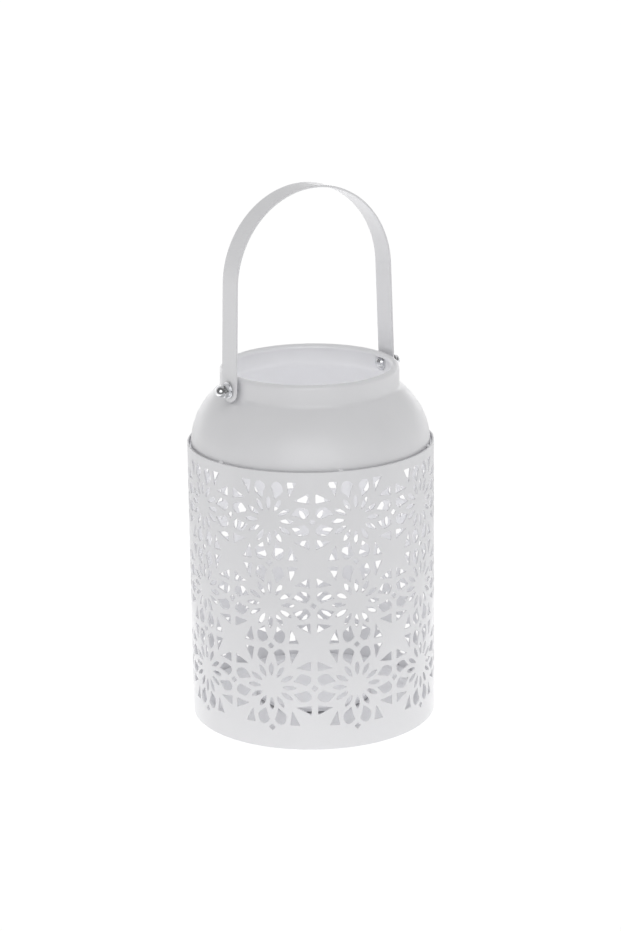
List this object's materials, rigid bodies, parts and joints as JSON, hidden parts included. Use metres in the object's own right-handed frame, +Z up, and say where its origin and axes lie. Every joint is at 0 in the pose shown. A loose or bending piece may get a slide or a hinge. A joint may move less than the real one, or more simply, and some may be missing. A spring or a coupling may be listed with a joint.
{
  "type": "lantern",
  "caption": "Metal candle lantern: laser-cut cylinder with a flower and star lattice, spun dome with an open neck, candle dish, and a swinging strap handle.",
  "frame": {"origin": "centre of the base, on the surface that the lantern stands on", "axes": "+Z up along the lantern's axis, +X along the handle's pivots, +Y completes the frame"},
  "size_m": [0.12, 0.1198, 0.2634],
  "materials": {
    "powder_coat": "satin off-white powder coat on sheet steel",
    "chrome": "bright plated steel"
  },
  "bodies": {
    "body": {"shade": "powder_coat", "dome": "powder_coat", "base_plate": "powder_coat", "candle_dish": "powder_coat", "dish_rivet": "powder_coat", "left_screw": "chrome", "left_inner_washer": "chrome", "left_lock_nut": "chrome", "left_outer_washer": "chrome", "left_cap_nut": "chrome", "right_screw": "chrome", "right_inner_washer": "chrome", "right_lock_nut": "chrome", "right_outer_washer": "chrome", "right_cap_nut": "chrome", "rim_tack_1": "powder_coat", "rim_tack_2": "powder_coat", "rim_tack_3": "powder_coat", "rim_tack_4": "powder_coat", "rim_tack_5": "powder_coat", "rim_tack_6": "powder_coat", "base_tack_1": "powder_coat", "base_tack_2": "powder_coat", "base_tack_3": "powder_coat", "base_tack_4": "powder_coat", "base_tack_5": "powder_coat", "base_tack_6": "powder_coat"},
    "handle": {"handle": "powder_coat"}
  },
  "joints": [
    {"name": "handle_swing", "type": "hinge", "parent": "body", "child": "handle", "pos_m": [0, 0, 0.17], "axis": [1, 0, 0], "range_deg": [-94, 94]}
  ]
}
